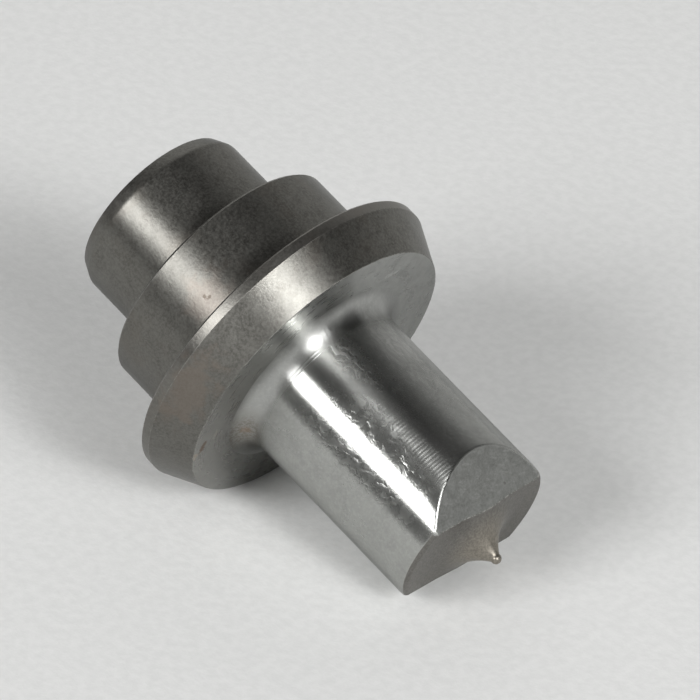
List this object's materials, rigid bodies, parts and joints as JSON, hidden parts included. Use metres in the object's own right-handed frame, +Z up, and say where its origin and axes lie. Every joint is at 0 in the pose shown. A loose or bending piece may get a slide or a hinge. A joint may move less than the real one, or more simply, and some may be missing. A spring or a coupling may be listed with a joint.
{
  "type": "round punch",
  "caption": "Round punch of hardened tool steel for a punching press, with a stepped shank, a coned flange and a ground cutting body with a bevelled end and a centre nib.",
  "frame": {"origin": "on the surface that the punch lies on, below the centre of its bounding box", "axes": "+Z up from that surface, +X the way the tip points, with the punch axis in the XZ plane and its tip leaning down by 20.8 degrees; +Y level across the punch"},
  "size_m": [0.0636, 0.044, 0.0416],
  "materials": {
    "tool_steel": "hardened tool steel, heat-treated grey on shank and flange, ground bright on the body"
  },
  "bodies": {
    "root": {"punch": "tool_steel"}
  },
  "joints": []
}
